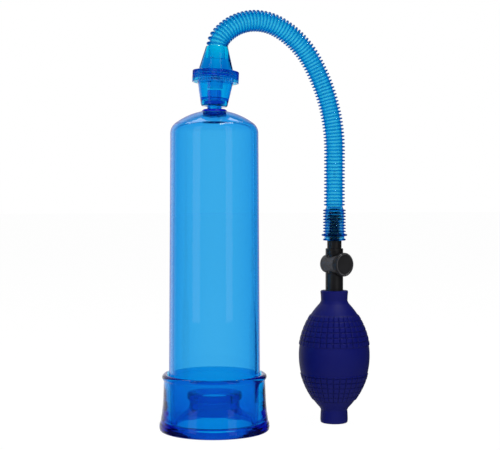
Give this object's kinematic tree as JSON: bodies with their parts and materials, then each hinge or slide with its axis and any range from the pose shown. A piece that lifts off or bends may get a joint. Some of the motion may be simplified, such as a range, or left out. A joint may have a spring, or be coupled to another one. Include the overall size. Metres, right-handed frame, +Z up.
{
  "type": "hand vacuum pump",
  "caption": "Hand vacuum pump: clear domed cylinder in a soft entry sleeve, ribbed hose on a push-on coupling, release-button valve and a squeeze bulb with check valves.",
  "frame": {"origin": "centre of the entry sleeve's foot, on the ground plane", "axes": "+Z up along the cylinder's axis, +X from the cylinder towards the squeeze bulb, -Y towards the release button's side"},
  "size_m": [0.1574, 0.0788, 0.3002],
  "materials": {
    "clear_blue": "clear, polished",
    "sleeve_blue": "soft translucent, glossy",
    "coupling_blue": "clear, polished",
    "hose_blue": "translucent, glossy",
    "seal_blue": "satin",
    "seal_black": "satin",
    "black_plastic": "fine moulded grain",
    "button_black": "satin",
    "spring_steel": "drawn wire",
    "bulb_navy": "matt, moulded grid"
  },
  "bodies": {
    "sleeve": {"entry_sleeve": "sleeve_blue"},
    "cylinder": {"cylinder_tube": "clear_blue", "nozzle_gasket": "seal_blue", "nozzle": "coupling_blue"},
    "coupling_seal": {"coupling_oring": "seal_blue"},
    "coupling": {"coupling_socket": "coupling_blue", "nose_gasket": "seal_blue", "hose_nose": "coupling_blue", "hose_upper": "hose_blue"},
    "collar": {"coupling_collar": "coupling_blue"},
    "hose_end": {"hose_lower": "hose_blue", "hose_cuff": "hose_blue"},
    "valve": {"valve_body": "black_plastic", "valve_end_cap": "black_plastic", "button_spring": "spring_steel", "inlet_valve_cage": "black_plastic", "bulb": "bulb_navy", "outlet_valve_housing": "black_plastic", "outlet_valve_cap": "black_plastic"},
    "release_button": {"release_button": "button_black", "release_plunger": "black_plastic", "plunger_seal": "seal_black"},
    "inlet_disc": {"inlet_valve_disc": "seal_black"},
    "outlet_disc": {"outlet_valve_disc": "seal_black"},
    "bulb_wall": {"bulb_press_wall": "bulb_navy"}
  },
  "joints": [
    {"name": "cylinder_pull", "type": "slide", "parent": "sleeve", "child": "cylinder", "axis": [0, 0, 1], "range_m": [0, 0.05]},
    {"name": "coupling_pull", "type": "slide", "parent": "cylinder", "child": "coupling_seal", "axis": [0, 0, 1], "range_m": [0, 0.02]},
    {"name": "coupling_swivel", "type": "hinge", "parent": "coupling_seal", "child": "coupling", "pos_m": [0, 0, 0.2332], "axis": [0, 0, 1], "continuous": true},
    {"name": "collar_twist", "type": "hinge", "parent": "coupling", "child": "collar", "pos_m": [0, 0, 0.2332], "axis": [0.0523, 0, 0.9986], "range_deg": [0, 60]},
    {"name": "hose_flex", "type": "hinge", "parent": "coupling", "child": "hose_end", "pos_m": [0.03165, 0, 0.29251], "axis": [0, -1, 0], "range_deg": [0, 60], "stiffness_Nm_per_rad": 0.5, "deforming": ["hose_upper", "hose_lower"]},
    {"name": "bulb_twist", "type": "hinge", "parent": "hose_end", "child": "valve", "pos_m": [0.0914, 0, 0.142], "axis": [0, 0, 1], "continuous": true},
    {"name": "button_press", "type": "slide", "parent": "valve", "child": "release_button", "axis": [-0.342, 0.9397, 0], "range_m": [0, 0.002], "stiffness_N_per_m": 1500, "deforming": ["button_spring"]},
    {"name": "inlet_disc_lift", "type": "slide", "parent": "valve", "child": "inlet_disc", "axis": [0, 0, -1], "range_m": [0, 0.0012]},
    {"name": "bulb_squeeze", "type": "slide", "parent": "valve", "child": "bulb_wall", "axis": [0, 1, 0], "range_m": [0, 0.014], "stiffness_N_per_m": 1500},
    {"name": "outlet_disc_lift", "type": "slide", "parent": "valve", "child": "outlet_disc", "axis": [0, 0, -1], "range_m": [0, 0.0012]}
  ],
  "couplings": [
    {"joint": "outlet_disc_lift", "follows": "bulb_squeeze", "ratio": 0.085714}
  ]
}
